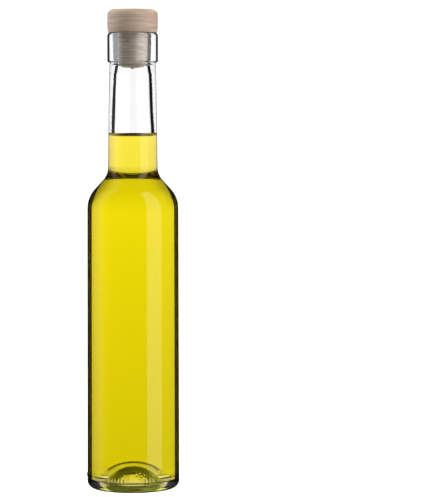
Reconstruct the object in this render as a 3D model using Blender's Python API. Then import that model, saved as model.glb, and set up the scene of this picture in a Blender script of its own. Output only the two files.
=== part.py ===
"""A tall slim clear-glass bottle of golden oil, shut by a wooden-headed stopper.

Metres, +Z up, the origin at the centre of the ring that the bottle stands on.
Every piece is a solid of revolution about the Z axis, turned from an outline of (radius, height) points.
The outlines are built from straight runs and arcs between the driving dimensions below.
"""

import math

import bmesh
import bpy

# Glass, outside
GLASS_HEIGHT = 0.2790
BODY_RADIUS_TOP = 0.0279
BODY_RADIUS_FOOT = 0.0283
NECK_RADIUS_TOP = 0.0141
NECK_RADIUS_MIDDLE = 0.0147
NECK_RADIUS_FOOT = 0.0151
NECK_MIDDLE_HEIGHT = 0.2330
NECK_FOOT_HEIGHT = 0.1973
SHOULDER_END_HEIGHT = 0.1716
SHOULDER_HOLLOW_RADIUS = 0.0120
SHOULDER_ROUND_RADIUS = 0.0180
SHOULDER_ANGLE_DEG = 45.0
HEEL_RADIUS = 0.0046

# Reinforced band round the mouth
BAND_RADIUS = 0.01548
BAND_UNDERSIDE_HEIGHT = 0.2612
BAND_TOP_ROUND = 0.0019
BAND_FOOT_ROUND = 0.0008
BAND_FILLET = 0.0005
MOUTH_EDGE_ROUND = 0.0007

# Glass, inside
MOUTH_RADIUS = 0.00925
CORK_BORE_END_RADIUS = 0.0089
CORK_BORE_END_HEIGHT = 0.2600
BORE_RADIUS_TOP = 0.0099
BORE_TOP_HEIGHT = 0.2540
BORE_RADIUS_MIDDLE = 0.0111
BORE_MIDDLE_HEIGHT = 0.2230
BORE_RADIUS_FOOT = 0.0117
BORE_FOOT_HEIGHT = 0.1985
BODY_INNER_RADIUS = 0.0252
INNER_SHOULDER_HOLLOW_RADIUS = 0.0135
INNER_SHOULDER_ROUND_RADIUS = 0.0152
INNER_SHOULDER_END_HEIGHT = 0.1712
INNER_HEEL_RADIUS = 0.0060

# Foot and pushed-up bottom: the underside is a dome, a steep flank and a shallow skirt to the foot ring
FOOT_RING_INNER_RADIUS = 0.0222
FOOT_RING_BEAD = 0.0012
FOOT_RING_BEAD_START_DEG = 225.0
PUNT_HEIGHT_OUTSIDE = 0.0140
PUNT_CROWN_RADIUS_OUTSIDE = 0.0094
PUNT_SLOPE_OUTSIDE_DEG = 58.0
PUNT_FLANK_END_RADIUS = 0.0117
PUNT_SKIRT_RADIUS = 0.0015
PUNT_SKIRT_SLOPE_DEG = 8.0
PUNT_SKIRT_END_RADIUS = 0.0204
PUNT_HEIGHT_INSIDE = 0.0174
PUNT_CROWN_RADIUS_INSIDE = 0.0138
PUNT_SLOPE_INSIDE_DEG = 48.0
VALLEY_HEIGHT = 0.0050

# Raised mould mark on the left of the heel
MARK_HEIGHTS = (0.0066, 0.0072, 0.0088, 0.0094)
MARK_RELIEF = 0.00045

# Oil
OIL_LEVEL = 0.2158
OIL_CREEP_HEIGHT = 0.0022
OIL_CREEP_LENGTH = 0.0019
OIL_SURFACE_RINGS = 5

# Stopper
HEAD_RADIUS = 0.01545
HEAD_FOOT_RADIUS = 0.01495
HEAD_FLARE_HEIGHT = 0.0045
HEAD_HEIGHT = 0.0138
HEAD_TOP_ROUND = 0.0031
HEAD_FOOT_ROUND = 0.0003
SHANK_CHAMFER_START_HEIGHT = 0.2614
SHANK_END_HEIGHT = 0.2591
SHANK_END_RADIUS = 0.0074
SHANK_DOME = 0.0004
PIP_RADIUS = 0.0012
PIP_END_RADIUS = 0.0008
PIP_LENGTH = 0.0009
PIP_ROUND = 0.0004

# Touching pieces are kept this far apart
GAP = 0.0003

# Fineness: flats round the axis, how far a chord may lie off its arc, and where an edge turns sharp
SEGMENTS = 40
CHORD_ERROR = 0.00005
SHORTEST_ARC_STEPS = 2
MERGE_DISTANCE = 1.0e-6
ON_SURFACE_DISTANCE = 1.0e-5
SHARP_ANGLE_DEG = 35.0


def clear_scene():
    """Remove whatever objects the file holds."""
    for old in list(bpy.data.objects):
        bpy.data.objects.remove(old, do_unlink=True)


def arc(centre_r, centre_z, radius, start_deg, end_deg):
    """Points on a circle in the (radius, height) plane, both ends included, spaced by the chord error."""
    chord_angle = 2.0 * math.acos(1.0 - CHORD_ERROR / radius)
    steps = max(SHORTEST_ARC_STEPS, math.ceil(math.radians(abs(end_deg - start_deg)) / chord_angle))
    points = []
    for step in range(steps + 1):
        angle = math.radians(start_deg + (end_deg - start_deg) * step / steps)
        points.append((centre_r + radius * math.cos(angle), centre_z + radius * math.sin(angle)))
    return points


def shoulder(neck_radius, neck_z, hollow_radius, body_radius, body_z, round_radius):
    """The shoulder from the body up to the neck: an outward round, a straight cone and a hollow."""
    rounded = arc(body_radius - round_radius, body_z, round_radius, 0.0, SHOULDER_ANGLE_DEG)
    hollow = arc(neck_radius + hollow_radius, neck_z, hollow_radius, 180.0 + SHOULDER_ANGLE_DEG, 180.0)
    return rounded + hollow


def underside():
    """The pushed-up bottom from below: a dome, a steep flank, a skirt that flattens, and the ring's bead."""
    slope = math.radians(PUNT_SLOPE_OUTSIDE_DEG)
    crown = arc(0.0, PUNT_HEIGHT_OUTSIDE - PUNT_CROWN_RADIUS_OUTSIDE, PUNT_CROWN_RADIUS_OUTSIDE,
                90.0, 90.0 - PUNT_SLOPE_OUTSIDE_DEG)
    crown_r, crown_z = crown[-1]
    flank_z = crown_z - (PUNT_FLANK_END_RADIUS - crown_r) * math.tan(slope)
    skirt = arc(PUNT_FLANK_END_RADIUS + PUNT_SKIRT_RADIUS * math.sin(slope),
                flank_z + PUNT_SKIRT_RADIUS * math.cos(slope), PUNT_SKIRT_RADIUS,
                270.0 - PUNT_SLOPE_OUTSIDE_DEG, 270.0 - PUNT_SKIRT_SLOPE_DEG)
    skirt_r, skirt_z = skirt[-1]
    drop = (PUNT_SKIRT_END_RADIUS - skirt_r) * math.tan(math.radians(PUNT_SKIRT_SLOPE_DEG))
    bead = arc(FOOT_RING_INNER_RADIUS, FOOT_RING_BEAD, FOOT_RING_BEAD, FOOT_RING_BEAD_START_DEG, 270.0)
    return crown + skirt + [(PUNT_SKIRT_END_RADIUS, skirt_z - drop)] + bead


def glass_outside():
    """From the middle of the hollow foot, over the heel and up the outside to the top of the mouth."""
    heel = arc(BODY_RADIUS_FOOT - HEEL_RADIUS, HEEL_RADIUS, HEEL_RADIUS, 270.0, 360.0)
    mark = [(BODY_RADIUS_FOOT, height) for height in MARK_HEIGHTS]
    upper = shoulder(NECK_RADIUS_FOOT, NECK_FOOT_HEIGHT, SHOULDER_HOLLOW_RADIUS,
                     BODY_RADIUS_TOP, SHOULDER_END_HEIGHT, SHOULDER_ROUND_RADIUS)
    neck = [(NECK_RADIUS_MIDDLE, NECK_MIDDLE_HEIGHT)]
    fillet = arc(NECK_RADIUS_TOP + BAND_FILLET, BAND_UNDERSIDE_HEIGHT - BAND_FILLET, BAND_FILLET, 180.0, 90.0)
    band_foot = arc(BAND_RADIUS - BAND_FOOT_ROUND, BAND_UNDERSIDE_HEIGHT + BAND_FOOT_ROUND,
                    BAND_FOOT_ROUND, 270.0, 360.0)
    band_top = arc(BAND_RADIUS - BAND_TOP_ROUND, GLASS_HEIGHT - BAND_TOP_ROUND, BAND_TOP_ROUND, 0.0, 90.0)
    return underside() + heel + mark + upper + neck + fillet + band_foot + band_top


def glass_inside():
    """From the top of the mouth down the bore and the inner wall to the top of the pushed-up bottom."""
    mouth = arc(MOUTH_RADIUS + MOUTH_EDGE_ROUND, GLASS_HEIGHT - MOUTH_EDGE_ROUND, MOUTH_EDGE_ROUND,
                90.0, 180.0)
    bore = [(CORK_BORE_END_RADIUS, CORK_BORE_END_HEIGHT), (BORE_RADIUS_TOP, BORE_TOP_HEIGHT),
            (BORE_RADIUS_MIDDLE, BORE_MIDDLE_HEIGHT)]
    upper = shoulder(BORE_RADIUS_FOOT, BORE_FOOT_HEIGHT, INNER_SHOULDER_HOLLOW_RADIUS,
                     BODY_INNER_RADIUS, INNER_SHOULDER_END_HEIGHT, INNER_SHOULDER_ROUND_RADIUS)
    upper.reverse()
    valley_r = BODY_INNER_RADIUS - INNER_HEEL_RADIUS
    heel = arc(valley_r, VALLEY_HEIGHT + INNER_HEEL_RADIUS, INNER_HEEL_RADIUS, 360.0, 270.0)
    crown = arc(0.0, PUNT_HEIGHT_INSIDE - PUNT_CROWN_RADIUS_INSIDE, PUNT_CROWN_RADIUS_INSIDE,
                90.0 - PUNT_SLOPE_INSIDE_DEG, 90.0)
    crown_r, crown_z = crown[0]
    slope = math.radians(PUNT_SLOPE_INSIDE_DEG)
    turn = (crown_z - VALLEY_HEIGHT - (valley_r - crown_r) * math.tan(slope)) / (
        1.0 - math.cos(slope) - math.sin(slope) * math.tan(slope))
    flank = arc(valley_r, VALLEY_HEIGHT + turn, turn, 270.0, 270.0 - PUNT_SLOPE_INSIDE_DEG)
    return mouth + bore + upper + heel + flank[1:] + crown


def inset(points, distance):
    """Move an outline sideways, towards its right-hand side, by a distance measured square to it."""
    moved = []
    for index, (r, z) in enumerate(points):
        before = points[max(index - 1, 0)]
        after = points[min(index + 1, len(points) - 1)]
        run_r = after[0] - before[0]
        run_z = after[1] - before[1]
        length = math.hypot(run_r, run_z)
        moved.append((max(r + run_z / length * distance, 0.0), z - run_r / length * distance))
    return moved


def oil_outline():
    """The oil: the inner glass less the gap, from the bottom up to the level, and the creep at the wall."""
    wall = [point for point in reversed(glass_inside()) if point[1] < OIL_LEVEL]
    wall = inset(wall, -GAP)
    wall[0] = (0.0, PUNT_HEIGHT_INSIDE + GAP)
    share = (OIL_LEVEL - BORE_FOOT_HEIGHT) / (BORE_MIDDLE_HEIGHT - BORE_FOOT_HEIGHT)
    edge = BORE_RADIUS_FOOT + (BORE_RADIUS_MIDDLE - BORE_RADIUS_FOOT) * share - GAP
    surface = []
    for ring in range(OIL_SURFACE_RINGS):
        inward = edge * (ring / OIL_SURFACE_RINGS) ** 2
        surface.append((edge - inward, OIL_LEVEL + OIL_CREEP_HEIGHT * math.exp(-inward / OIL_CREEP_LENGTH)))
    return wall + surface + [(0.0, OIL_LEVEL)]


def head_outline():
    """The turned wooden head, from the middle of its underside to the middle of its top."""
    foot_z = GLASS_HEIGHT + GAP
    top_z = foot_z + HEAD_HEIGHT
    foot = arc(HEAD_FOOT_RADIUS - HEAD_FOOT_ROUND, foot_z + HEAD_FOOT_ROUND, HEAD_FOOT_ROUND, 270.0, 360.0)
    flare = [(HEAD_RADIUS, foot_z + HEAD_FLARE_HEIGHT)]
    top = arc(HEAD_RADIUS - HEAD_TOP_ROUND, top_z - HEAD_TOP_ROUND, HEAD_TOP_ROUND, 0.0, 90.0)
    return [(0.0, foot_z)] + foot + flare + top + [(0.0, top_z)]


def shank_outline():
    """The round shank in the mouth, from the moulding pip under its end to its flat top."""
    pip_z = SHANK_END_HEIGHT - SHANK_DOME - PIP_LENGTH
    pip = [(0.0, pip_z), (PIP_END_RADIUS, pip_z), (PIP_RADIUS, pip_z + PIP_ROUND),
           (PIP_RADIUS, SHANK_END_HEIGHT - SHANK_DOME)]
    end = [(SHANK_END_RADIUS, SHANK_END_HEIGHT)]
    side = [(CORK_BORE_END_RADIUS - GAP, SHANK_CHAMFER_START_HEIGHT), (MOUTH_RADIUS - GAP, GLASS_HEIGHT)]
    return pip + end + side + [(0.0, GLASS_HEIGHT)]


def turned(name, outline):
    """A closed solid of revolution about Z, spun from an outline whose ends lie on the axis."""
    bm = bmesh.new()
    verts = [bm.verts.new((r, 0.0, z)) for r, z in outline]
    edges = [bm.edges.new(pair) for pair in zip(verts, verts[1:])]
    bmesh.ops.spin(bm, geom=verts + edges, cent=(0.0, 0.0, 0.0), axis=(0.0, 0.0, 1.0),
                   angle=math.tau, steps=SEGMENTS, use_merge=True)
    bmesh.ops.remove_doubles(bm, verts=bm.verts, dist=MERGE_DISTANCE)
    bmesh.ops.recalc_face_normals(bm, faces=bm.faces)
    mesh = bpy.data.meshes.new(name)
    bm.to_mesh(mesh)
    bm.free()
    mesh.shade_smooth()
    mesh.set_sharp_from_angle(angle=math.radians(SHARP_ANGLE_DEG))
    obj = bpy.data.objects.new(name, mesh)
    bpy.context.scene.collection.objects.link(obj)
    return obj


def raise_mark(bottle):
    """Push one column of the heel out on the -X side: the raised mould mark."""
    for vertex in bottle.data.vertices:
        on_outside = vertex.co.x < -BODY_RADIUS_FOOT + ON_SURFACE_DISTANCE
        in_mark = MARK_HEIGHTS[0] + ON_SURFACE_DISTANCE < vertex.co.z < MARK_HEIGHTS[-1] - ON_SURFACE_DISTANCE
        if on_outside and in_mark:
            vertex.co.x -= MARK_RELIEF


def material(name, colour, roughness, transmission=0.0, ior=1.5):
    """A Principled material of one colour."""
    mat = bpy.data.materials.new(name)
    mat.use_nodes = True
    shader = mat.node_tree.nodes["Principled BSDF"]
    shader.inputs["Base Color"].default_value = (*colour, 1.0)
    shader.inputs["Roughness"].default_value = roughness
    shader.inputs["Metallic"].default_value = 0.0
    shader.inputs["Transmission Weight"].default_value = transmission
    shader.inputs["IOR"].default_value = ior
    return mat


def build_bottle():
    """The glass: one piece, with its mouth open and its bottom pushed up."""
    bottle = turned("bottle", glass_outside() + glass_inside())
    raise_mark(bottle)
    glass = material("clear_glass", (0.97, 0.98, 0.98), 0.02, transmission=1.0, ior=1.52)
    bottle.data.materials.append(glass)


def build_oil():
    """The oil, up to its level in the neck."""
    oil = turned("oil", oil_outline())
    liquid = material("golden_oil", (0.82, 0.66, 0.02), 0.02, transmission=1.0, ior=1.47)
    oil.data.materials.append(liquid)


def build_stopper():
    """The wooden head on the mouth, and the shank under it that fills the bore."""
    head = turned("stopper_head", head_outline())
    head.data.materials.append(material("pale_beech", (0.45, 0.34, 0.27), 0.6))
    shank = turned("stopper_shank", shank_outline())
    shank.data.materials.append(material("moulded_cork", (0.45, 0.36, 0.29), 0.55))


clear_scene()
build_bottle()
build_oil()
build_stopper()
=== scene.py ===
import math

import bpy
import numpy as np
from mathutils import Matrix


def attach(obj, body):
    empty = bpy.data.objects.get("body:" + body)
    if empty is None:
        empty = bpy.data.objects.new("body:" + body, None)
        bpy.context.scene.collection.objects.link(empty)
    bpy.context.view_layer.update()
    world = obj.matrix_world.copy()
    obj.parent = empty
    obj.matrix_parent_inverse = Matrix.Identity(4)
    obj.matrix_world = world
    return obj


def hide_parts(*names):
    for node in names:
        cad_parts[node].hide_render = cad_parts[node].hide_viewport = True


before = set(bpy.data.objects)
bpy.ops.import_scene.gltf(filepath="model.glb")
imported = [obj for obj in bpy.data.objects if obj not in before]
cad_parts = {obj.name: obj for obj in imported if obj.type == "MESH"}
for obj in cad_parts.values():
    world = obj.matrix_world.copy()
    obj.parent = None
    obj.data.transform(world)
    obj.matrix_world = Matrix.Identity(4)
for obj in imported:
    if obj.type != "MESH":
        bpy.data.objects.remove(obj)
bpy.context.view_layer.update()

# The bottle: one piece of clear flint glass, blown in a two-part mould and cooled slowly, so its outside
# is true and its inside wall wanders a little. A banded mouth takes the stopper, and the bottom is
# pushed up so that the bottle stands on a ring. It is the piece that everything else is put into.
GLASS_HEIGHT = 0.2790
BODY_RADIUS_TOP = 0.0279
BODY_RADIUS_FOOT = 0.0283
NECK_RADIUS_TOP = 0.0141
NECK_RADIUS_MIDDLE = 0.0147
NECK_RADIUS_FOOT = 0.0151
NECK_MIDDLE_HEIGHT = 0.2330
NECK_FOOT_HEIGHT = 0.1973
SHOULDER_END_HEIGHT = 0.1716
SHOULDER_HOLLOW_RADIUS = 0.0120
SHOULDER_ROUND_RADIUS = 0.0180
SHOULDER_ANGLE_DEG = 45.0
HEEL_RADIUS = 0.0046
MARKS_TOP_HEIGHT = 0.0143

BAND_RADIUS = 0.01548
BAND_UNDERSIDE_HEIGHT = 0.2612
BAND_TOP_ROUND = 0.0019
BAND_FOOT_ROUND = 0.0008
BAND_FILLET = 0.0005
MOUTH_EDGE_ROUND = 0.0007

MOUTH_RADIUS = 0.00925
CORK_BORE_END_RADIUS = 0.0089
CORK_BORE_END_HEIGHT = 0.2600
BORE_RADIUS_TOP = 0.0099
BORE_TOP_HEIGHT = 0.2540
BORE_RADIUS_MIDDLE = 0.0111
BORE_MIDDLE_HEIGHT = 0.2230
BORE_RADIUS_FOOT = 0.0117
BORE_FOOT_HEIGHT = 0.1985
BODY_INNER_RADIUS = 0.0252
INNER_SHOULDER_HOLLOW_RADIUS = 0.0135
INNER_SHOULDER_ROUND_RADIUS = 0.0152
INNER_SHOULDER_END_HEIGHT = 0.1712
INNER_HEEL_RADIUS = 0.0060

FOOT_RING_INNER_RADIUS = 0.0222
FOOT_RING_BEAD = 0.0012
PUNT_HEIGHT_OUTSIDE = 0.0140
PUNT_CROWN_RADIUS_OUTSIDE = 0.0094
PUNT_SLOPE_OUTSIDE_DEG = 58.0
PUNT_FLANK_END_RADIUS = 0.0117
PUNT_SKIRT_RADIUS = 0.0015
PUNT_SKIRT_SLOPE_DEG = 8.0
PUNT_SKIRT_END_RADIUS = 0.0204
PUNT_HEIGHT_INSIDE = 0.0174
PUNT_CROWN_RADIUS_INSIDE = 0.0138
PUNT_SLOPE_INSIDE_DEG = 48.0
VALLEY_HEIGHT = 0.0050

OIL_LEVEL = 0.2158
FRONT = math.radians(-90.0)
LEFT = math.radians(180.0)


def bend(centre_r, centre_z, radius, start, end, count):
    """Points on an arc: the centre plus the radius times the cosine and sine of evenly spaced angles."""
    angle = np.radians(np.linspace(start, end, count))
    return np.stack([centre_r + radius * np.cos(angle), centre_z + radius * np.sin(angle)], axis=1)


def run(start, end, count):
    """Points spaced evenly on the straight line between two (radius, height) points, the ends left out."""
    share = np.linspace(0.0, 1.0, count + 2)[1:-1, None]
    return (1.0 - share) * np.asarray(start) + share * np.asarray(end)


def plain_run(start, end, count):
    """Such points with one more 0.4 mm from each end, so that a bend's shading stays at the bend."""
    start, end = np.asarray(start), np.asarray(end)
    close = 0.0004 / np.linalg.norm(end - start) * (end - start)
    return np.concatenate([[start + close], run(start, end, count), [end - close]])


def chain(*stretches):
    """One outline from stretches of points, with any point that repeats the one before it left out."""
    points = np.concatenate(stretches)
    step = np.linalg.norm(np.diff(points, axis=0), axis=1)
    return points[np.concatenate([[True], step > 1.0e-6])]


def underside_line():
    """The pushed-up bottom from below: a dome, a straight steep flank, a skirt that flattens, and a bead."""
    slope, easing = math.radians(PUNT_SLOPE_OUTSIDE_DEG), math.radians(PUNT_SKIRT_SLOPE_DEG)
    crown = bend(0.0, PUNT_HEIGHT_OUTSIDE - PUNT_CROWN_RADIUS_OUTSIDE, PUNT_CROWN_RADIUS_OUTSIDE,
                 90.0, 90.0 - PUNT_SLOPE_OUTSIDE_DEG, 16)
    flank_r = PUNT_FLANK_END_RADIUS
    flank_z = crown[-1, 1] - (flank_r - crown[-1, 0]) * math.tan(slope)
    skirt = bend(flank_r + PUNT_SKIRT_RADIUS * math.sin(slope),
                 flank_z + PUNT_SKIRT_RADIUS * math.cos(slope), PUNT_SKIRT_RADIUS,
                 270.0 - PUNT_SLOPE_OUTSIDE_DEG, 270.0 - PUNT_SKIRT_SLOPE_DEG, 9)
    drop = (PUNT_SKIRT_END_RADIUS - skirt[-1, 0]) * math.tan(easing)
    skirt_end = (PUNT_SKIRT_END_RADIUS, skirt[-1, 1] - drop)
    bead = bend(FOOT_RING_INNER_RADIUS, FOOT_RING_BEAD, FOOT_RING_BEAD, 225.0, 270.0, 5)
    return chain(crown, run(crown[-1], (flank_r, flank_z), 3), skirt, run(skirt[-1], skirt_end, 2),
                 [skirt_end], bead)


def outside_line():
    """The glass from the middle of the hollow foot, over the heel and up the outside to the mouth."""
    heel_r = BODY_RADIUS_FOOT - HEEL_RADIUS
    heel = bend(heel_r, HEEL_RADIUS, HEEL_RADIUS, 270.0, 360.0, 20)
    marks = run(heel[-1], (BODY_RADIUS_FOOT, MARKS_TOP_HEIGHT), 38)
    body_end = (BODY_RADIUS_TOP, SHOULDER_END_HEIGHT)
    shoulder = bend(BODY_RADIUS_TOP - SHOULDER_ROUND_RADIUS, SHOULDER_END_HEIGHT, SHOULDER_ROUND_RADIUS,
                    0.0, SHOULDER_ANGLE_DEG, 14)
    hollow = bend(NECK_RADIUS_FOOT + SHOULDER_HOLLOW_RADIUS, NECK_FOOT_HEIGHT, SHOULDER_HOLLOW_RADIUS,
                  180.0 + SHOULDER_ANGLE_DEG, 180.0, 12)
    neck_middle = (NECK_RADIUS_MIDDLE, NECK_MIDDLE_HEIGHT)
    fillet = bend(NECK_RADIUS_TOP + BAND_FILLET, BAND_UNDERSIDE_HEIGHT - BAND_FILLET, BAND_FILLET,
                  180.0, 90.0, 4)
    band_foot = bend(BAND_RADIUS - BAND_FOOT_ROUND, BAND_UNDERSIDE_HEIGHT + BAND_FOOT_ROUND, BAND_FOOT_ROUND,
                     270.0, 360.0, 6)
    band_top = bend(BAND_RADIUS - BAND_TOP_ROUND, GLASS_HEIGHT - BAND_TOP_ROUND, BAND_TOP_ROUND,
                    0.0, 90.0, 9)
    return chain(underside_line(), run((FOOT_RING_INNER_RADIUS, 0.0), (heel_r, 0.0), 3), heel, marks,
                 plain_run(marks[-1], body_end, 6), shoulder, plain_run(shoulder[-1], hollow[0], 1), hollow,
                 plain_run(hollow[-1], neck_middle, 2), [neck_middle], plain_run(neck_middle, fillet[0], 2),
                 fillet, band_foot, plain_run(band_foot[-1], band_top[0], 2), band_top)


def inside_line():
    """The glass from the mouth down the bore and the inner wall to the top of the pushed-up bottom."""
    mouth = bend(MOUTH_RADIUS + MOUTH_EDGE_ROUND, GLASS_HEIGHT - MOUTH_EDGE_ROUND, MOUTH_EDGE_ROUND,
                 90.0, 180.0, 5)
    cork_end = (CORK_BORE_END_RADIUS, CORK_BORE_END_HEIGHT)
    bore_top = (BORE_RADIUS_TOP, BORE_TOP_HEIGHT)
    bore_middle = (BORE_RADIUS_MIDDLE, BORE_MIDDLE_HEIGHT)
    bore_foot = (BORE_RADIUS_FOOT, BORE_FOOT_HEIGHT)
    hollow = bend(BORE_RADIUS_FOOT + INNER_SHOULDER_HOLLOW_RADIUS, BORE_FOOT_HEIGHT,
                  INNER_SHOULDER_HOLLOW_RADIUS, 180.0, 180.0 + SHOULDER_ANGLE_DEG, 12)
    shoulder = bend(BODY_INNER_RADIUS - INNER_SHOULDER_ROUND_RADIUS, INNER_SHOULDER_END_HEIGHT,
                    INNER_SHOULDER_ROUND_RADIUS, SHOULDER_ANGLE_DEG, 0.0, 12)
    valley_r = BODY_INNER_RADIUS - INNER_HEEL_RADIUS
    heel = bend(valley_r, VALLEY_HEIGHT + INNER_HEEL_RADIUS, INNER_HEEL_RADIUS, 360.0, 270.0, 12)
    slope = math.radians(PUNT_SLOPE_INSIDE_DEG)
    crown = bend(0.0, PUNT_HEIGHT_INSIDE - PUNT_CROWN_RADIUS_INSIDE, PUNT_CROWN_RADIUS_INSIDE,
                 90.0 - PUNT_SLOPE_INSIDE_DEG, 90.0, 12)
    turn = (crown[0, 1] - VALLEY_HEIGHT - (valley_r - crown[0, 0]) * math.tan(slope)) / (
        1.0 - math.cos(slope) - math.sin(slope) * math.tan(slope))
    flank = bend(valley_r, VALLEY_HEIGHT + turn, turn, 270.0, 270.0 - PUNT_SLOPE_INSIDE_DEG, 8)
    return chain(mouth, plain_run(mouth[-1], cork_end, 2), [cork_end], plain_run(cork_end, bore_top, 3),
                 [bore_top], run(bore_top, bore_middle, 4), [bore_middle],
                 plain_run(bore_middle, bore_foot, 3), hollow, plain_run(hollow[-1], shoulder[0], 2),
                 shoulder, plain_run(shoulder[-1], heel[0], 20), heel, flank,
                 plain_run(flank[-1], crown[0], 3), crown)


def wander(height, azimuth):
    """How far the inner wall lies in or out: three slow waves up the height and round the axis."""
    fade = np.clip((height - 0.010) / 0.020, 0.0, 1.0) * np.clip((0.256 - height) / 0.010, 0.0, 1.0)
    waves = (np.sin(height * 92.0 + 1.3) * np.cos(azimuth + 0.7)
             + 0.7 * np.sin(height * 171.0) * np.cos(2.0 * azimuth + 2.1)
             + 0.6 * np.cos(height * 61.0 + 0.4))
    return 0.00011 * fade * waves


def bump(value, width):
    """A smooth hump: one at the middle, nothing past the width, with a cosine between."""
    return 0.5 + 0.5 * np.cos(np.pi * np.clip(np.abs(value) / width, 0.0, 1.0))


def heel_relief(height, azimuth):
    """What the mould leaves proud of the heel: two rows of short bars, four dots and a mark on the left."""
    raised, mark_raised = 0.00030, 0.00045
    bars_height, mark_height = 0.0070, 0.0080
    across = BODY_RADIUS_FOOT * (np.mod(azimuth - FRONT + np.pi, 2.0 * np.pi) - np.pi)
    relief = 0.0 * height * azimuth
    for middle in (-0.0148, -0.0124, -0.0101, -0.0077, -0.0054, 0.0086, 0.0110, 0.0136):
        bar = bump(across - middle, 0.0007) * bump(height - bars_height, 0.0026) ** 0.5
        relief = np.maximum(relief, raised * bar)
    for middle, level in ((0.0030, 0.0114), (0.0048, 0.0122), (0.0058, 0.0104), (0.0075, 0.0112)):
        relief = np.maximum(relief, raised * bump(np.hypot(across - middle, height - level), 0.0008))
    from_left = BODY_RADIUS_FOOT * (np.mod(azimuth - LEFT + np.pi, 2.0 * np.pi) - np.pi)
    mark = bump(from_left, 0.0030) ** 0.5 * bump(height - mark_height, 0.0014) ** 0.5
    return np.maximum(relief, mark_raised * mark)


def skin(name, grid, foot, top):
    """A closed surface: rings of a grid joined by quads all round, with a fan to a point at each end."""
    rings, around = grid.shape[:2]
    cell = np.arange((rings - 1) * around)
    here = cell // around * around
    low = here + cell % around
    high = here + (cell + 1) % around
    quads = np.stack([low, high, high + around, low + around], axis=1)
    turn = np.arange(around)
    after = (turn + 1) % around
    last = (rings - 1) * around
    foot_fan = np.stack([np.full(around, rings * around), after, turn], axis=1)
    top_fan = np.stack([np.full(around, rings * around + 1), last + turn, last + after], axis=1)
    points = np.concatenate([grid.reshape(-1, 3), [foot, top]])
    mesh = bpy.data.meshes.new(name)
    mesh.from_pydata(points.tolist(), [], quads.tolist() + foot_fan.tolist() + top_fan.tolist())
    mesh.shade_smooth()
    piece = bpy.data.objects.new(name, mesh)
    bpy.context.scene.collection.objects.link(piece)
    return piece


def finish_by_ring(piece, grid, ring_finish):
    """Give each ring of quads its finish by number; the fans at the ends take the first and the last."""
    around = grid.shape[1]
    index = np.concatenate([np.repeat(ring_finish, around), np.full(around, ring_finish[0]),
                            np.full(around, ring_finish[-1])])
    piece.data.polygons.foreach_set("material_index", index.astype(np.int32))


def around_axis(radius, height, azimuth):
    """A grid of points: each radius carried round the axis to each azimuth, at its height."""
    return np.stack([radius * np.cos(azimuth), radius * np.sin(azimuth), height + 0.0 * azimuth], axis=2)


fine = np.linspace(-40.0, 40.0, 200, endpoint=False)
coarse = np.linspace(40.0, 320.0, 160, endpoint=False)
azimuth = np.radians(np.concatenate([fine, coarse]))[None, :] + FRONT
outer = outside_line()
inner = inside_line()
line = chain(outer, inner)[1:-1]
outer_rings = len(outer) - 1
on_inside = np.arange(len(line))[:, None] >= outer_rings
radius = line[:, :1] + 0.0 * azimuth
height = line[:, 1:] + 0.0 * azimuth
heel_part = (~on_inside) & (height > HEEL_RADIUS) & (height < 0.0131)
radius = radius + np.where(on_inside, wander(height, azimuth), 0.0)
radius = radius + np.where(heel_part, heel_relief(height, azimuth), 0.0)
knurl_radius, knurl_depth, knurl_count = 0.0246, 0.00030, 45.0
knurl = bump(radius - knurl_radius, 0.0010) * (height < 0.0010) * ~on_inside
height = height + knurl_depth * knurl * (0.5 + 0.5 * np.cos(knurl_count * azimuth))
glass_grid = around_axis(radius, height, azimuth)
glass = skin("bottle_glass", glass_grid, (0.0, 0.0, outer[0, 1]), (0.0, 0.0, inner[-1, 1]))


def clear_glass(name):
    """Clear flint glass: full transmission at the index of soda glass, and a fire-polished face."""
    finish = bpy.data.materials.new(name)
    finish.use_nodes = True
    shader = finish.node_tree.nodes["Principled BSDF"]
    shader.inputs["Base Color"].default_value = (1.0, 1.0, 1.0, 1.0)
    shader.inputs["Roughness"].default_value = 0.0
    shader.inputs["IOR"].default_value = 1.52
    shader.inputs["Transmission Weight"].default_value = 1.0
    return finish, finish.node_tree, shader


def ramp_node(tree, value, low, high, start, end, smooth=True):
    """A number from start to end as the value goes from low to high; any of them may be a socket."""
    node = tree.nodes.new("ShaderNodeMapRange")
    node.interpolation_type = "SMOOTHSTEP" if smooth else "LINEAR"
    slots = ("Value", "From Min", "From Max", "To Min", "To Max")
    for slot, given in zip(slots, (value, low, high, start, end)):
        if isinstance(given, float):
            node.inputs[slot].default_value = given
        else:
            tree.links.new(given, node.inputs[slot])
    return node.outputs["Result"]


def sum_node(tree, first, second, operation="ADD"):
    """The sum, or another operation, of two sockets or numbers."""
    node = tree.nodes.new("ShaderNodeMath")
    node.operation = operation
    for slot, given in zip(node.inputs, (first, second)):
        if isinstance(given, float):
            slot.default_value = given
        else:
            tree.links.new(given, slot)
    return node.outputs["Value"]


def place_node(tree, axis="Z"):
    """A place on the piece in metres: its height, or how far along another axis."""
    place = tree.nodes.new("ShaderNodeTexCoord")
    split = tree.nodes.new("ShaderNodeSeparateXYZ")
    tree.links.new(place.outputs["Object"], split.inputs["Vector"])
    return split.outputs[axis]


def mix_node(tree, share, first, second):
    """A colour that goes from the first to the second as the share goes from nothing to one."""
    node = tree.nodes.new("ShaderNodeMix")
    node.data_type = "RGBA"
    tree.links.new(share, node.inputs["Factor"])
    for slot, given in (("A", first), ("B", second)):
        if isinstance(given, tuple):
            node.inputs[slot].default_value = (*given, 1.0)
        else:
            tree.links.new(given, node.inputs[slot])
    return node.outputs["Result"]


def facing_node(tree):
    """How far the surface turns away: nothing where it faces the ray, one where the ray grazes it."""
    weight = tree.nodes.new("ShaderNodeLayerWeight")
    weight.inputs["Blend"].default_value = 0.5
    return weight.outputs["Facing"]


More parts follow.
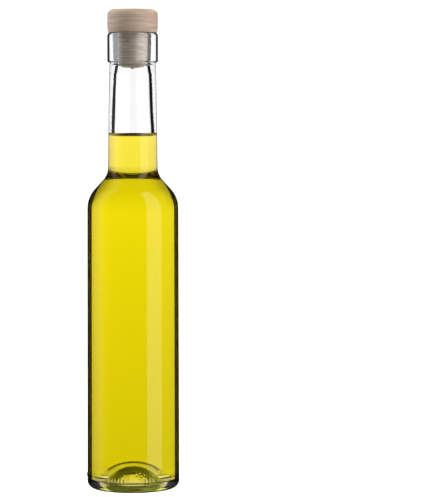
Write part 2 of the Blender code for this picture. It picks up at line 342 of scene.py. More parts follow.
def darken_from_within(tree, shader, share, dark=(0.0, 0.0, 0.0)):
    """Where the share is one and the ray comes from within the glass, the face lets none by and is painted
    in the
    given colour, black by default: a painted reflection.
    """
    side = tree.nodes.new("ShaderNodeNewGeometry")
    share = sum_node(tree, share, side.outputs["Backfacing"], "MULTIPLY")
    clear_share = sum_node(tree, 1.0, share, "SUBTRACT")
    tree.links.new(mix_node(tree, share, (1.0, 1.0, 1.0), dark), shader.inputs["Base Color"])
    tree.links.new(clear_share, shader.inputs["Transmission Weight"])
    tree.links.new(clear_share, shader.inputs["Specular Tint"])


# Outer face: a thick round wall of glass gathers the dark of the room at its edges, and that dark is painted
# into its colour, in a wide line down the body and a thin one down the neck. The foot of the neck is painted
# dark, and the body is painted shaded towards its foot.
# Heights are in metres, and a turn away goes from 0, facing the ray, to 1, grazed by it.
outer_face, tree, shader = clear_glass("clear_flint_glass")
facing = facing_node(tree)
level = place_node(tree)
side = tree.nodes.new("ShaderNodeNewGeometry")
from_outside = sum_node(tree, 1.0, side.outputs["Backfacing"], "SUBTRACT")

# The painted dark edge: it starts at a turn away that depends on the height, and it is less dark up the neck
# than on the body and the band.
EDGE_ON_BODY, EDGE_ON_NECK, EDGE_SOFTNESS = 0.552, 0.780, 0.030
NARROWS_FROM, NARROWS_PAST = 0.1775, 0.1890
BAND_FROM, BAND_PAST, WIDER_ON_BAND = 0.2600, 0.2614, -0.200
HEEL_FROM, HEEL_PAST, WIDER_ON_HEEL = 0.0056, 0.0072, -0.240
FOOT_RING_FROM, FOOT_RING_PAST = 0.0018, 0.0030
LIGHTER_FROM, LIGHTER_PAST = 0.197, 0.212
DARKEST_ON_BODY, DARKEST_ON_NECK, BAND_DARKER_BY = 0.0045, 0.10, 0.098
start = ramp_node(tree, level, NARROWS_FROM, NARROWS_PAST, EDGE_ON_BODY, EDGE_ON_NECK)
start = sum_node(tree, start, ramp_node(tree, level, BAND_FROM, BAND_PAST, 0.0, WIDER_ON_BAND))
heel = ramp_node(tree, level, HEEL_FROM, HEEL_PAST, WIDER_ON_HEEL, 0.0)
heel = sum_node(tree, heel, ramp_node(tree, level, FOOT_RING_FROM, FOOT_RING_PAST, 0.0, 1.0), "MULTIPLY")
start = sum_node(tree, start, heel)
edge = sum_node(tree, facing, start, "SUBTRACT")
darkest = ramp_node(tree, level, LIGHTER_FROM, LIGHTER_PAST, DARKEST_ON_BODY, DARKEST_ON_NECK)
darker_on_band = ramp_node(tree, level, BAND_FROM, BAND_PAST, 0.0, BAND_DARKER_BY)
darkest = sum_node(tree, darkest, darker_on_band, "SUBTRACT")
painted_dark_tint = ramp_node(tree, edge, 0.0, EDGE_SOFTNESS, 1.0, darkest)

# The shoulder: painted shade darkens it softly towards its outline.
SLOPE_FROM, SLOPE_FULL, SLOPE_FADES, SLOPE_PAST = 0.1700, 0.1790, 0.1900, 0.1920
SLOPE_DARKENS_FROM, SLOPE_DARKENS_PAST, SHOULDER_SHADE = 0.30, 0.66, 0.60
shoulder_foot = ramp_node(tree, level, SLOPE_FROM, SLOPE_FULL, 0.0, 1.0)
shoulder_top = ramp_node(tree, level, SLOPE_FADES, SLOPE_PAST, 1.0, 0.0)
on_slope = sum_node(tree, shoulder_foot, shoulder_top, "MULTIPLY")
sloped = ramp_node(tree, facing, SLOPE_DARKENS_FROM, SLOPE_DARKENS_PAST, 0.0, SHOULDER_SHADE)
sloped = sum_node(tree, on_slope, sloped, "MULTIPLY")
painted_dark_tint = sum_node(tree, painted_dark_tint, sum_node(tree, 1.0, sloped, "SUBTRACT"), "MULTIPLY")

# The body: it is shaded from a little under the shoulder down to the foot, which is seen unshaded from
# outside.
BODY_SHADE_FOOT, BODY_SHADE_TOP, FOOT_SHADE = 0.025, 0.155, 0.832
UNSHADED_BELOW, SHADED_ABOVE = 0.0110, 0.0250
over_foot = ramp_node(tree, level, UNSHADED_BELOW, SHADED_ABOVE, 1.0, 0.0)
over_foot = sum_node(tree, over_foot, from_outside, "MULTIPLY")
shaded = ramp_node(tree, level, BODY_SHADE_FOOT, BODY_SHADE_TOP, FOOT_SHADE, 1.0, smooth=False)
painted_dark_tint = sum_node(tree, painted_dark_tint, sum_node(tree, shaded, over_foot, "MAXIMUM"), "MULTIPLY")

# The foot of the neck: a painted dark ring, thinnest in the middle, where the bend throws the ray far aside.
RING_FOOT_MIDDLE, RING_FOOT_SIDES, RING_TOP_MIDDLE, RING_TOP_SIDES = 0.1904, 0.1889, 0.1930, 0.1944
FOOT_DROPS_FROM, TOP_RISES_FROM, SIDES_PAST = 0.20, 0.10, 0.80
RING_SOFTNESS = 0.0002
DARK_OLIVE = (0.130, 0.170, 0.050)
low_edge = ramp_node(tree, facing, FOOT_DROPS_FROM, SIDES_PAST, RING_FOOT_MIDDLE, RING_FOOT_SIDES)
high_edge = ramp_node(tree, facing, TOP_RISES_FROM, SIDES_PAST, RING_TOP_MIDDLE, RING_TOP_SIDES)
over_low_edge = sum_node(tree, level, low_edge, "SUBTRACT")
over_high_edge = sum_node(tree, level, high_edge, "SUBTRACT")
neck_foot = sum_node(tree, ramp_node(tree, over_low_edge, -RING_SOFTNESS, RING_SOFTNESS, 0.0, 1.0),
                     ramp_node(tree, over_high_edge, -RING_SOFTNESS, RING_SOFTNESS, 1.0, 0.0), "MULTIPLY")
neck_foot = sum_node(tree, neck_foot, from_outside, "MULTIPLY")
tree.links.new(mix_node(tree, neck_foot, painted_dark_tint, DARK_OLIVE), shader.inputs["Base Color"])

# Wetted face: oil lies on the glass with hardly any step in index, so nothing is mirrored there. Over the
# pushed-up bottom a slanting ray is bent down into the foot and comes back dark, and that dark is painted
# in.
BENT_DOWN_FROM, BENT_DOWN_PAST, BENT_DOWN_SHADE = 0.56, 0.61, 0.03
ARC_FROM, ARC_FULL, ARC_FADES, ARC_PAST = 0.0105, 0.0125, 0.0174, 0.0185
wet_face, tree, shader = clear_glass("oil_wetted_glass")
shader.inputs["Specular Tint"].default_value = (0.0, 0.0, 0.0, 1.0)
slant = ramp_node(tree, facing_node(tree), BENT_DOWN_FROM, BENT_DOWN_PAST, 0.0, 1.0)
level = place_node(tree)
low_down = ramp_node(tree, level, ARC_FADES, ARC_PAST, 1.0, 0.0)
low_down = sum_node(tree, low_down, ramp_node(tree, level, ARC_FROM, ARC_FULL, 0.0, 1.0), "MULTIPLY")
painted_dark_tint = ramp_node(tree, sum_node(tree, slant, low_down, "MULTIPLY"), 0.0, 1.0, 1.0, BENT_DOWN_SHADE)
tree.links.new(painted_dark_tint, shader.inputs["Base Color"])

# Dry face of the bore: met from within the glass at a slant, past the angle where glass begins to mirror
# wholly, it is painted with a reflection of the dark side of the room, and at a wider slant it mirrors the
# bright one.
ALL_MIRRORED_FROM, ALL_MIRRORED_PAST = 0.235, 0.250
BRIGHT_SIDE_FROM, BRIGHT_SIDE_PAST = 0.352, 0.377
NEAR_CORK_HEIGHT = 0.2585
dry_face, tree, shader = clear_glass("dry_bore_glass")
facing = facing_node(tree)
slant = ramp_node(tree, facing, ALL_MIRRORED_FROM, ALL_MIRRORED_PAST, 0.0, 1.0)
dark_side = ramp_node(tree, facing, BRIGHT_SIDE_FROM, BRIGHT_SIDE_PAST, 1.0, 0.0)
slant = sum_node(tree, slant, dark_side, "MULTIPLY")
under_cork = ramp_node(tree, place_node(tree), NEAR_CORK_HEIGHT, CORK_BORE_END_HEIGHT, 1.0, 0.0)
slant = sum_node(tree, slant, under_cork, "MULTIPLY")
darken_from_within(tree, shader, slant)

# Dome under the bottle: met from within the glass at a slant, it is painted with a reflection of the dark of
# the room through oil.
PAINTED_REFLECTION_GREEN = (0.84, 1.0, 0.12)
GRAZED_FROM, GRAZED_PAST = 0.90, 0.97
RING_UP_TO, DOME_FROM, MIRRORED_AT_RING, MIRRORED_ON_DOME = 0.0022, 0.0034, 0.20, 0.92
dome_face, tree, shader = clear_glass("hollow_foot_glass")
facing = facing_node(tree)
slant = ramp_node(tree, facing, ALL_MIRRORED_FROM, ALL_MIRRORED_PAST, 0.0, 1.0)
slant = sum_node(tree, slant, ramp_node(tree, facing, GRAZED_FROM, GRAZED_PAST, 1.0, 0.0), "MULTIPLY")
domed = ramp_node(tree, place_node(tree), RING_UP_TO, DOME_FROM, MIRRORED_AT_RING, MIRRORED_ON_DOME)
darken_from_within(tree, shader, sum_node(tree, slant, domed, "MULTIPLY"), PAINTED_REFLECTION_GREEN)

# Corked face of the bore: painted as if the shank pressed on the glass on the left, where a slanting ray
# meets cork with a painted sheen of the cool left light on it, and left a film of air on the right, where it
# shows a painted reflection of the dark of the room.
CORK_WITH_PAINTED_SHEEN, DARK_SEEN = (0.92, 0.94, 0.98), (0.13, 0.12, 0.12)
CORK_AND_SHEEN_UP_TO, DARK_SEEN_UP_TO, SEEN_SOFTNESS, SEEN_SHARE = 0.490, 0.400, 0.030, 0.94
SHEEN_SIDE_UP_TO_X, DARK_SIDE_FROM_X = -0.0020, 0.0020
corked_face, tree, shader = clear_glass("corked_bore_glass")
facing = facing_node(tree)
slant = ramp_node(tree, facing, ALL_MIRRORED_FROM, ALL_MIRRORED_PAST, 0.0, 1.0)
across = ramp_node(tree, place_node(tree, "X"), SHEEN_SIDE_UP_TO_X, DARK_SIDE_FROM_X, 0.0, 1.0)
seen_up_to = ramp_node(tree, across, 0.0, 1.0, CORK_AND_SHEEN_UP_TO, DARK_SEEN_UP_TO)
past = sum_node(tree, facing, seen_up_to, "SUBTRACT")
slant = sum_node(tree, slant, ramp_node(tree, past, 0.0, SEEN_SOFTNESS, SEEN_SHARE, 0.0), "MULTIPLY")
darken_from_within(tree, shader, slant, mix_node(tree, across, CORK_WITH_PAINTED_SHEEN, DARK_SEEN))

for face in (outer_face, wet_face, dry_face, dome_face, corked_face):
    glass.data.materials.append(face)
OUTER, WET, DRY, DOME, CORKED = range(5)
ring = np.arange(len(line) - 1)
ring_level = 0.5 * (line[1:, 1] + line[:-1, 1])
WETTED_UP_TO, CORKED_UP_TO = OIL_LEVEL + 0.0019, GLASS_HEIGHT - 0.0006
SKIRT_END_AND_BEAD_RINGS = 6
ring_finish = np.where(ring < outer_rings, OUTER, np.where(ring_level < WETTED_UP_TO, WET, DRY))
ring_finish = np.where(ring < len(underside_line()) - SKIRT_END_AND_BEAD_RINGS, DOME, ring_finish)
behind_cork = (ring_finish == DRY) & (ring_level > CORK_BORE_END_HEIGHT) & (ring_level < CORKED_UP_TO)
ring_finish = np.where(behind_cork, CORKED, ring_finish)
finish_by_ring(glass, glass_grid, ring_finish)
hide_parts("bottle")
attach(glass, "root")

# The oil: cold-pressed golden cooking oil poured in up to the neck. It wets the glass, so it reaches
# just into the wall here, and it creeps up the glass a little way all round its level.
OIL_CREEP_HEIGHT = 0.0022
OIL_CREEP_LENGTH = 0.0019
REACH_INTO_WALL = 0.00012
wet = inner[::-1]
wet = wet[(wet[:, 1] < OIL_LEVEL + 0.5 * OIL_CREEP_HEIGHT) & (wet[:, 0] > 0.0)]
run_r = np.gradient(wet[:, 0])
run_z = np.gradient(wet[:, 1])
length = np.hypot(run_r, run_z)
wall_r = wet[:, 0] + run_z / length * REACH_INTO_WALL
wall_z = wet[:, 1] - run_r / length * REACH_INTO_WALL
bore_r = np.interp(OIL_LEVEL, [BORE_FOOT_HEIGHT, BORE_MIDDLE_HEIGHT], [BORE_RADIUS_FOOT, BORE_RADIUS_MIDDLE])
edge_r = bore_r + REACH_INTO_WALL
inward = edge_r * np.linspace(0.0, 1.0, 26)[:-1] ** 2
top_r = edge_r - inward
top_z = OIL_LEVEL + OIL_CREEP_HEIGHT * np.exp(-inward / OIL_CREEP_LENGTH)
around = np.linspace(0.0, 2.0 * np.pi, 256, endpoint=False)[None, :]
oil_r = np.concatenate([wall_r, top_r])[:, None] + 0.0 * around
oil_z = np.concatenate([wall_z, top_z])[:, None] + 0.0 * around
oil_r = oil_r + wander(oil_z, around) * (oil_r > 0.9 * edge_r)
oil_foot = (0.0, 0.0, inner[-1, 1] - REACH_INTO_WALL)
oil = skin("oil_fill", around_axis(oil_r, oil_z, around), oil_foot, (0.0, 0.0, OIL_LEVEL))

# Each part of the oil's face gets a number, since one liquid can have only one material: -1 over the
# pushed-up bottom, 0 on the wall and 1 on the open top.
OVER_FOOT_RADIUS, OVER_FOOT_HEIGHT = 0.0195, 0.020
GREEN_OVER_FOOT, GREEN_ELSEWHERE = 1.0, 0.85
TOP_MIRRORS_FROM, TOP_MIRRORS_PAST = 0.24, 0.27
CREEP_PAINTED_DARK_FROM, CREEP_PAINTED_DARK_PAST, CREEP_PAINTED_DARK_SHARE = OIL_LEVEL + 0.00004, OIL_LEVEL + 0.0002, 0.95
over_foot = (oil_r[:, 0] < OVER_FOOT_RADIUS) & (oil_z[:, 0] < OVER_FOOT_HEIGHT)
part = np.where(np.arange(len(oil_r)) >= len(wall_r), 1.0, np.where(over_foot, -1.0, 0.0))
part = np.concatenate([np.repeat(part, around.shape[1]), [-1.0, 1.0]])
held = oil.data.attributes.new("face_part", "FLOAT", "POINT")
held.data.foreach_set("value", part)
golden = bpy.data.materials.new("golden_oil")
golden.use_nodes = True
tree = golden.node_tree
shader = tree.nodes["Principled BSDF"]
shader.inputs["Roughness"].default_value = 0.0
shader.inputs["IOR"].default_value = 1.47
face_part = tree.nodes.new("ShaderNodeAttribute")
face_part.attribute_name = "face_part"
open_top = ramp_node(tree, face_part.outputs["Fac"], 0.5, 0.9, 0.0, 1.0)
green = ramp_node(tree, face_part.outputs["Fac"], -0.9, -0.5, GREEN_OVER_FOOT, GREEN_ELSEWHERE)
# Painted reflection: where the oil creeps up the glass, the open top met from within the oil at a slant is
# painted nearly black and lets almost none by, for the dark of the room it would mirror.
slant = ramp_node(tree, facing_node(tree), TOP_MIRRORS_FROM, TOP_MIRRORS_PAST, 0.0, 1.0)
crept = ramp_node(tree, place_node(tree), CREEP_PAINTED_DARK_FROM, CREEP_PAINTED_DARK_PAST, 0.0, CREEP_PAINTED_DARK_SHARE)
side = tree.nodes.new("ShaderNodeNewGeometry")
share = sum_node(tree, sum_node(tree, slant, crept, "MULTIPLY"), open_top, "MULTIPLY")
share = sum_node(tree, share, side.outputs["Backfacing"], "MULTIPLY")
clear_share = sum_node(tree, 1.0, share, "SUBTRACT")
painted_dark_tint = tree.nodes.new("ShaderNodeCombineColor")
tree.links.new(clear_share, painted_dark_tint.inputs["Red"])
tree.links.new(sum_node(tree, clear_share, green, "MULTIPLY"), painted_dark_tint.inputs["Green"])
tree.links.new(clear_share, painted_dark_tint.inputs["Blue"])
tree.links.new(painted_dark_tint.outputs["Color"], shader.inputs["Base Color"])
tree.links.new(clear_share, shader.inputs["Transmission Weight"])
tree.links.new(sum_node(tree, clear_share, open_top, "MULTIPLY"), shader.inputs["Specular Tint"])
absorb = tree.nodes.new("ShaderNodeVolumeAbsorption")
absorb.inputs["Color"].default_value = (0.99, 0.985, 0.0, 1.0)
absorb.inputs["Density"].default_value = 125.0
tree.links.new(absorb.outputs["Volume"], tree.nodes["Material Output"].inputs["Volume"])
oil.data.materials.append(golden)
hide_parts("oil")
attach(oil, "root")

# The stopper's shank: a moulded cork substitute, pressed into the mouth and glued into the head above it.
# It carries fine rings from the mould, its end is chamfered and slightly domed, and the gate left a pip.
SHANK_SIDE_FOOT_HEIGHT = 0.2614
SHANK_END_HEIGHT = 0.2591
SHANK_END_RADIUS = 0.0074
SHANK_DOME = 0.0004
PIP_END_HEIGHT = 0.2578
PIP_RADIUS = 0.0012
PIP_ROUND = 0.0004
SHANK_CLEARANCE = 0.00004
PIP_TOP_HEIGHT = 0.2586
GROOVE_COUNT, GROOVE_HALF_WIDTH = 11, 0.00022
GROOVES_FROM, GROOVES_TO = 0.2620, 0.2725
SHALLOWEST_GROOVE, DEEPEST_GROOVE = 0.00002, 0.00005
SHANK_RIPPLE = 0.000012
pip = bend(PIP_RADIUS - PIP_ROUND, PIP_END_HEIGHT + PIP_ROUND, PIP_ROUND, 270.0, 360.0, 5)
dome_r = np.linspace(PIP_RADIUS + 0.0002, SHANK_END_RADIUS - 0.0002, 10)
dome_z = SHANK_END_HEIGHT - SHANK_DOME + SHANK_DOME * (dome_r / SHANK_END_RADIUS) ** 2
dome = np.stack([dome_r, dome_z], axis=1)
side_z = np.linspace(SHANK_SIDE_FOOT_HEIGHT, GLASS_HEIGHT + 0.0001, 150)
side_r = np.interp(side_z, [CORK_BORE_END_HEIGHT, GLASS_HEIGHT - MOUTH_EDGE_ROUND],
                   [CORK_BORE_END_RADIUS, MOUTH_RADIUS]) - SHANK_CLEARANCE
draw = np.random.default_rng(11)
groove_z = draw.uniform(GROOVES_FROM, GROOVES_TO, GROOVE_COUNT)
groove_depth = draw.uniform(SHALLOWEST_GROOVE, DEEPEST_GROOVE, GROOVE_COUNT)
side_r = side_r - np.max(groove_depth * bump(side_z[:, None] - groove_z, GROOVE_HALF_WIDTH), axis=1)
side = np.stack([side_r, side_z], axis=1)
shank_line = chain([(0.0004, PIP_END_HEIGHT)], pip, [(PIP_RADIUS, PIP_TOP_HEIGHT)], dome,
                   run(dome[-1], side[0], 6), side, [(0.0045, side_z[-1])])
shank_r = shank_line[:, :1] + 0.0 * around
shank_z = shank_line[:, 1:] + 0.0 * around
ripple = SHANK_RIPPLE * np.sin(7.0 * around + 900.0 * shank_z)
shank_r = shank_r + ripple * (shank_z > SHANK_SIDE_FOOT_HEIGHT + 0.0002)
shank_end, shank_top = (0.0, 0.0, PIP_END_HEIGHT), (0.0, 0.0, side_z[-1])
shank = skin("cork_shank", around_axis(shank_r, shank_z, around), shank_end, shank_top)


def noise_node(tree, scale, detail=5.0, roughness=0.6):
    """Noise in the piece's own metres, finer along an axis the larger its scale there."""
    place = tree.nodes.new("ShaderNodeTexCoord")
    stretch = tree.nodes.new("ShaderNodeMapping")
    stretch.inputs["Scale"].default_value = scale
    noise = tree.nodes.new("ShaderNodeTexNoise")
    noise.inputs["Scale"].default_value = 1.0
    noise.inputs["Detail"].default_value = detail
    noise.inputs["Roughness"].default_value = roughness
    tree.links.new(place.outputs["Object"], stretch.inputs["Vector"])
    tree.links.new(stretch.outputs["Vector"], noise.inputs["Vector"])
    return noise.outputs["Fac"]


def relief_node(tree, shader, value, depth):
    """Fine relief of a depth in metres on the shader's surface, raised where the value is large."""
    node = tree.nodes.new("ShaderNodeBump")
    node.inputs["Distance"].default_value = depth
    tree.links.new(value, node.inputs["Height"])
    tree.links.new(node.outputs["Normal"], shader.inputs["Normal"])


cork = bpy.data.materials.new("moulded_cork")
cork.use_nodes = True
tree = cork.node_tree
shader = tree.nodes["Principled BSDF"]
shader.inputs["Roughness"].default_value = 0.55
rings = noise_node(tree, (120.0, 120.0, 1500.0))
grain = noise_node(tree, (1800.0, 1800.0, 2600.0), 2.0)
ringed = ramp_node(tree, rings, 0.30, 0.66, 0.0, 1.0)
grained = ramp_node(tree, grain, 0.60, 0.72, 0.0, 0.25)
chamfered = ramp_node(tree, place_node(tree), 0.2588, 0.2616, 0.60, 0.0)
# Painted shade: the shank is darker towards its top, where the head above it shades it.
painted_head_shade = ramp_node(tree, place_node(tree), 0.2725, 0.2785, 0.0, 0.45)
colour = mix_node(tree, ringed, (0.46, 0.33, 0.24), (0.80, 0.69, 0.60))
colour = mix_node(tree, grained, colour, (0.45, 0.34, 0.26))
colour = mix_node(tree, chamfered, colour, (0.38, 0.26, 0.18))
colour = mix_node(tree, painted_head_shade, colour, (0.28, 0.19, 0.12))
tree.links.new(colour, shader.inputs["Base Color"])
relief_node(tree, shader, grain, 0.00004)
shank.data.materials.append(cork)
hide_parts("stopper_shank")
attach(shank, "root")

# The stopper's head: a knob of pale beech, turned with its grain lying across, rounded at the top and drawn
# in a little at the foot, sanded and left bare. It is glued on the shank and sits on the mouth.
HEAD_RADIUS = 0.01545
HEAD_FOOT_RADIUS = 0.01495
HEAD_FLARE_HEIGHT = 0.0045
HEAD_HEIGHT = 0.0138
HEAD_TOP_ROUND = 0.0031
HEAD_FOOT_ROUND = 0.0003
HEAD_RIPPLE = 0.000015
GAP = 0.0003
foot_z, top_z = GLASS_HEIGHT + 0.1 * GAP, GLASS_HEIGHT + GAP + HEAD_HEIGHT
head_foot = bend(HEAD_FOOT_RADIUS - HEAD_FOOT_ROUND, foot_z + HEAD_FOOT_ROUND, HEAD_FOOT_ROUND,
                 270.0, 360.0, 5)
flare_z = np.linspace(foot_z + HEAD_FOOT_ROUND + 0.0001, top_z - HEAD_TOP_ROUND, 60)
belly = np.clip((flare_z - head_foot[-1, 1]) / HEAD_FLARE_HEIGHT, 0.0, 1.0)
flare_r = HEAD_FOOT_RADIUS + (HEAD_RADIUS - HEAD_FOOT_RADIUS) * np.sin(0.5 * np.pi * belly)
flare = np.stack([flare_r, flare_z], axis=1)
head_top = bend(HEAD_RADIUS - HEAD_TOP_ROUND, top_z - HEAD_TOP_ROUND, HEAD_TOP_ROUND, 0.0, 90.0, 24)
head_line = chain(run((0.004, foot_z), head_foot[0], 3), head_foot, flare, head_top,
                  run(head_top[-1], (0.0, top_z), 12))
head_r = head_line[:, :1] + 0.0 * around
head_z = head_line[:, 1:] + 0.0 * around
hand_turned = HEAD_RIPPLE * np.sin(3.0 * around + 500.0 * head_z)
head_r = head_r + hand_turned * (head_r > HEAD_FOOT_RADIUS - 0.00005)
head = skin("wooden_head", around_axis(head_r, head_z, around), (0.0, 0.0, foot_z), (0.0, 0.0, top_z))
beech = bpy.data.materials.new("pale_beech")
beech.use_nodes = True
tree = beech.node_tree
shader = tree.nodes["Principled BSDF"]
shader.inputs["Roughness"].default_value = 0.62
shader.inputs["Specular IOR Level"].default_value = 0.35
layers = noise_node(tree, (26.0, 110.0, 620.0), 4.0)
fibres = noise_node(tree, (110.0, 500.0, 3600.0), 3.0)
pores = noise_node(tree, (330.0, 1500.0, 5200.0), 2.0)
patches = noise_node(tree, (60.0, 90.0, 120.0), 2.0)
layered = ramp_node(tree, layers, 0.34, 0.66, 0.0, 1.0)
colour = mix_node(tree, layered, (0.50, 0.360, 0.295), (0.63, 0.495, 0.415))
colour = mix_node(tree, ramp_node(tree, fibres, 0.50, 0.68, 0.0, 0.32), colour, (0.44, 0.31, 0.24))
colour = mix_node(tree, ramp_node(tree, pores, 0.66, 0.74, 0.0, 0.50), colour, (0.29, 0.19, 0.14))
colour = mix_node(tree, ramp_node(tree, patches, 0.50, 0.70, 0.0, 0.30), colour, (0.60, 0.43, 0.36))
tree.links.new(colour, shader.inputs["Base Color"])
relief_node(tree, shader, fibres, 0.00003)
head.data.materials.append(beech)
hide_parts("stopper_head")
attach(head, "root")

# The table: one wide white sheet, lit so evenly that it runs into the background. The glass mirrors and
# bends only the light of the room round it.
FLOOR_REACH = 6.0
corners = [(-FLOOR_REACH, -FLOOR_REACH, 0), (FLOOR_REACH, -FLOOR_REACH, 0), (FLOOR_REACH, FLOOR_REACH, 0),
           (-FLOOR_REACH, FLOOR_REACH, 0)]
floor_mesh = bpy.data.meshes.new("floor")
floor_mesh.from_pydata(corners, [], [(0, 1, 2, 3)])
floor = bpy.data.objects.new("floor", floor_mesh)
bpy.context.scene.collection.objects.link(floor)
white = bpy.data.materials.new("white_sheet")
white.use_nodes = True
shader = white.node_tree.nodes["Principled BSDF"]
shader.inputs["Base Color"].default_value = (0.85, 0.85, 0.85, 1.0)
shader.inputs["Roughness"].default_value = 1.0
shader.inputs["Specular IOR Level"].default_value = 0.0
shader.inputs["Emission Color"].default_value = (1.0, 1.0, 1.0, 1.0)
shader.inputs["Emission Strength"].default_value = 1.05
floor.data.materials.append(white)
floor.visible_diffuse = False
floor.visible_glossy = False
floor.visible_transmission = False

# The shade under the bottle: little light reaches the table inside the foot ring, and what does has come
# through the oil. It is seen only through the glass.
SHADE_RADIUS, SHADE_HEIGHT, SHADE_SIDES = 0.0215, 0.00005, 64
turn = np.linspace(0.0, 2.0 * np.pi, SHADE_SIDES, endpoint=False)
disc = np.stack([SHADE_RADIUS * np.cos(turn), SHADE_RADIUS * np.sin(turn), 0.0 * turn + SHADE_HEIGHT],
                axis=1)
shade_mesh = bpy.data.meshes.new("shade_under_foot")
shade_mesh.from_pydata(disc.tolist(), [], [list(range(SHADE_SIDES))])
shade = bpy.data.objects.new("shade_under_foot", shade_mesh)
bpy.context.scene.collection.objects.link(shade)
dim = bpy.data.materials.new("shaded_table")
dim.use_nodes = True
shader = dim.node_tree.nodes["Principled BSDF"]
shader.inputs["Base Color"].default_value = (0.05, 0.05, 0.05, 1.0)
shader.inputs["Roughness"].default_value = 1.0
shader.inputs["Emission Color"].default_value = (0.90, 1.0, 0.10, 1.0)
shader.inputs["Emission Strength"].default_value = 0.15
shade_mesh.materials.append(dim)
shade.visible_camera = False
shade.visible_diffuse = False
shade.visible_glossy = False

# The light: a white background low down all round and a dark room above. Two tall soft boxes to the left
# and right show as long soft streaks on the glass, and two side lamps light only the wood and the cork.
world = bpy.data.worlds.new("studio")
bpy.context.scene.world = world
world.use_nodes = True
tree = world.node_tree
sky = tree.nodes["Background"]
place = tree.nodes.new("ShaderNodeTexCoord")
split = tree.nodes.new("ShaderNodeSeparateXYZ")
tree.links.new(place.outputs["Generated"], split.inputs["Vector"])
path = tree.nodes.new("ShaderNodeLightPath")
across, back, up = split.outputs["X"], split.outputs["Y"], split.outputs["Z"]
SEEN, MIRRORED = 1.10, 0.02
SOFT_LOW, SOFT_HIGH = 0.10, 0.75
soft = ramp_node(tree, up, 0.20, 0.85, SOFT_LOW, SOFT_HIGH)

# What shows through the glass: brightest at the horizon, falling off low down, high up and to the right,
# dark overhead and on the camera's side, with one bright patch, the key, to the right of the camera.
UNDER_HORIZON, AT_HORIZON, LOW_DOWN, HIGH_UP = 0.97, 1.08, 0.82, 0.88
FAR_RIGHT, OVERHEAD, CAMERA_SIDE, KEY = 0.74, 0.10, 0.20, 2.1
through = ramp_node(tree, up, -0.05, 0.0, UNDER_HORIZON, AT_HORIZON, smooth=False)
low_down = ramp_node(tree, up, -0.50, -0.05, LOW_DOWN, 1.0, smooth=False)
through = sum_node(tree, through, low_down, "MULTIPLY")
through = sum_node(tree, through, ramp_node(tree, across, 0.35, 0.72, 1.0, FAR_RIGHT), "MULTIPLY")
through = sum_node(tree, through, ramp_node(tree, up, 0.20, 0.50, 1.0, HIGH_UP), "MULTIPLY")
overhead = ramp_node(tree, up, 0.54, 0.68, 1.0, OVERHEAD)
through = sum_node(tree, through, overhead, "MULTIPLY")
CAMERA_SIDE_X, CAMERA_SIDE_Y = -0.259, -0.966
KEY_X, KEY_Y = 0.84, -0.545
ahead = sum_node(tree, sum_node(tree, back, CAMERA_SIDE_Y, "MULTIPLY"),
                 sum_node(tree, across, CAMERA_SIDE_X, "MULTIPLY"))
through = sum_node(tree, through, ramp_node(tree, ahead, 0.45, 0.85, 1.0, CAMERA_SIDE), "MULTIPLY")
key = sum_node(tree, sum_node(tree, back, KEY_Y, "MULTIPLY"), sum_node(tree, across, KEY_X, "MULTIPLY"))
through = sum_node(tree, through, ramp_node(tree, key, 0.80, 0.92, 0.0, KEY))
radiance = ramp_node(tree, path.outputs["Is Glossy Ray"], 0.0, 1.0, soft, MIRRORED, smooth=False)
radiance = ramp_node(tree, path.outputs["Is Transmission Ray"], 0.0, 1.0, radiance, through, smooth=False)
radiance = ramp_node(tree, path.outputs["Is Camera Ray"], 0.0, 1.0, radiance, SEEN, smooth=False)
tree.links.new(radiance, sky.inputs["Strength"])
tree.links.new(mix_node(tree, overhead, (0.78, 1.0, 0.50), (1.0, 1.0, 1.0)), sky.inputs["Color"])


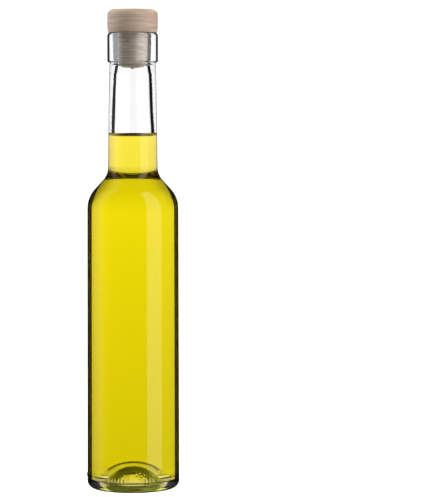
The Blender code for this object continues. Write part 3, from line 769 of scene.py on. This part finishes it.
def soft_box(name, azimuth_deg, width_deg, distance, low, high, radiance, colour, mirrored):
    """A flat upright light that faces the bottle: its width is the angle it fills at its distance."""
    size = 2.0 * distance * math.tan(math.radians(width_deg / 2.0))
    lamp = bpy.data.lights.new(name, "AREA")
    lamp.shape = "RECTANGLE"
    lamp.size = size
    lamp.size_y = high - low
    lamp.energy = radiance * math.pi * size * (high - low)
    lamp.color = colour
    light = bpy.data.objects.new(name, lamp)
    bpy.context.scene.collection.objects.link(light)
    turn = math.radians(azimuth_deg)
    light.location = (distance * math.sin(turn), -distance * math.cos(turn), 0.5 * (low + high))
    light.rotation_euler = (math.radians(90.0), 0.0, turn)
    light.visible_camera = False
    light.visible_transmission = False
    light.visible_glossy = mirrored
    light.visible_diffuse = not mirrored


LAMPS_FROM, LAMPS_TO = -0.14, 2.4
soft_box("box_right", 57.0, 42.0, 1.0, LAMPS_FROM, LAMPS_TO, 1.3, (1.0, 0.97, 0.93), True)
soft_box("box_left", -96.0, 36.0, 1.0, LAMPS_FROM, LAMPS_TO, 0.3, (0.94, 0.97, 1.0), True)
soft_box("side_right", 62.0, 42.0, 1.2, LAMPS_FROM, LAMPS_TO, 3.4, (1.0, 0.96, 0.91), False)
soft_box("side_left", -95.0, 42.0, 1.2, LAMPS_FROM, LAMPS_TO, 3.6, (0.95, 0.95, 1.0), False)

# The camera: a long lens a little to the right of the bottle, a few millimetres lower than the oil's level
# in the neck, tilted slightly down. Its focal length is in pixels of a picture 497 pixels high.
FOCAL_PIXELS, PICTURE_PIXELS = 2187.0, 497.0
SENSOR_WIDTH_MM = 36.0
DISTANCE = 1.340
EYE_HEIGHT = 0.2131
SIDE_STEP = 0.0506
PITCH_DEG = 2.814
lens = bpy.data.cameras.new("camera")
lens.sensor_width = SENSOR_WIDTH_MM
lens.lens = SENSOR_WIDTH_MM * FOCAL_PIXELS / PICTURE_PIXELS
camera = bpy.data.objects.new("camera", lens)
bpy.context.scene.collection.objects.link(camera)
camera.location = (SIDE_STEP, -DISTANCE, EYE_HEIGHT)
camera.rotation_euler = (math.radians(90.0 - PITCH_DEG), 0.0, 0.0)
bpy.context.scene.camera = camera
bpy.context.scene.view_settings.view_transform = "Standard"
bpy.context.scene.cycles.transmission_bounces = 24
bpy.context.scene.cycles.max_bounces = 32
